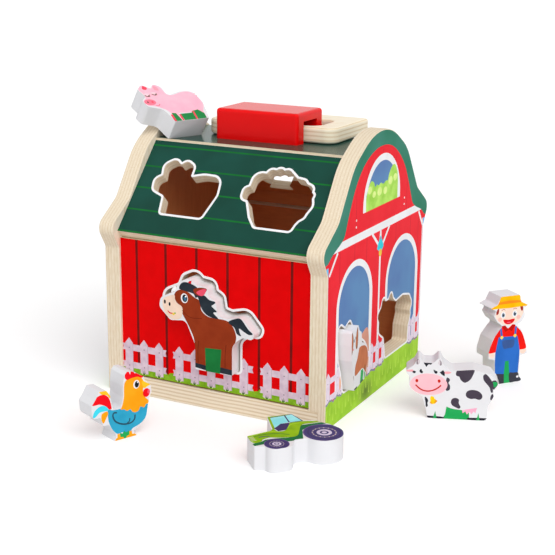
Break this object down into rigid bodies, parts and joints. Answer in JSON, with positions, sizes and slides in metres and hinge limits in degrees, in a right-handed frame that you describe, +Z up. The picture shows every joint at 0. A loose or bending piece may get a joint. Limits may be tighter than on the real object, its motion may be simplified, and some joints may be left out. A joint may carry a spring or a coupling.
{
  "type": "wooden shape sorter house",
  "caption": "Barn-shaped wooden activity house with a swing-up carry handle, a back flap, sorting holes and loose farm blocks.",
  "frame": {"origin": "middle of the house's base, on the ground", "axes": "+X to the right along the front, +Y to the back, +Z up"},
  "size_m": [0.2744, 0.2675, 0.2115],
  "materials": {
    "left_end_wall": "printed plywood",
    "right_end_wall": "printed plywood",
    "front_wall_panel": "printed plywood, satin",
    "front_roof_panel": "printed plywood, satin",
    "back_roof_panel": "printed plywood, satin",
    "roof_top_panel": "painted plywood, glossy",
    "floor_board": "bare plywood",
    "back_flap": "printed plywood, satin",
    "dowel_wood": "bare hardwood",
    "red_lacquer": "glossy lacquer",
    "handle_plate": "bare plywood",
    "screw_steel": "zinc plated",
    "horse_block": "white-painted sides, printed face",
    "goat_block": "white-painted sides, printed face",
    "cow_block": "white-painted sides, printed face",
    "pig_block": "white-painted sides, printed face",
    "rooster_block": "white-painted sides, printed face",
    "farmer_block": "white-painted sides, printed face",
    "tractor_block": "white-painted sides, printed face"
  },
  "bodies": {
    "house": {"left_end_wall": "left_end_wall", "right_end_wall": "right_end_wall", "front_wall_panel": "front_wall_panel", "front_roof_panel": "front_roof_panel", "back_roof_panel": "back_roof_panel", "roof_top_panel": "roof_top_panel", "floor_board": "floor_board", "flap_pins": "dowel_wood", "handle_saddle": "red_lacquer", "saddle_screws": "screw_steel", "floor_screws": "screw_steel", "front_wall_dowels": "dowel_wood", "front_roof_dowels": "dowel_wood", "back_roof_dowels": "dowel_wood", "roof_top_dowels": "dowel_wood"},
    "handle": {"handle_plate": "handle_plate"},
    "flap": {"back_flap": "back_flap"},
    "horse": {"horse_block": "horse_block"},
    "goat": {"goat_block": "goat_block"},
    "cow": {"cow_block": "cow_block"},
    "pig": {"pig_block": "pig_block"},
    "rooster": {"rooster_block": "rooster_block"},
    "farmer": {"farmer_block": "farmer_block"},
    "tractor": {"tractor_block": "tractor_block"}
  },
  "joints": [
    {"name": "handle_swing", "type": "hinge", "parent": "house", "child": "handle", "pos_m": [0, 0, 0.1819], "axis": [1, 0, 0], "range_deg": [0, 90]},
    {"name": "flap_swing", "type": "hinge", "parent": "house", "child": "flap", "pos_m": [0, 0.0785, 0.1083], "axis": [1, 0, 0], "range_deg": [0, 100]},
    {"name": "horse_push", "type": "slide", "parent": "house", "child": "horse", "axis": [0, -1, 0], "range_m": [-0.02, 0.03]},
    {"name": "goat_push", "type": "slide", "parent": "house", "child": "goat", "axis": [0.9863, 0.165, 0], "range_m": [-0.015, 0.024]},
    {"name": "cow_lift", "type": "slide", "parent": "house", "child": "cow", "axis": [0, 0, 1], "range_m": [0, 0.06]},
    {"name": "pig_lift", "type": "slide", "parent": "house", "child": "pig", "axis": [0, 0, 1], "range_m": [0, 0.06]},
    {"name": "rooster_lift", "type": "slide", "parent": "house", "child": "rooster", "axis": [0, 0, 1], "range_m": [0, 0.06]},
    {"name": "farmer_lift", "type": "slide", "parent": "house", "child": "farmer", "axis": [0, 0, 1], "range_m": [0, 0.06]},
    {"name": "tractor_lift", "type": "slide", "parent": "house", "child": "tractor", "axis": [0, 0, 1], "range_m": [0, 0.06]}
  ]
}
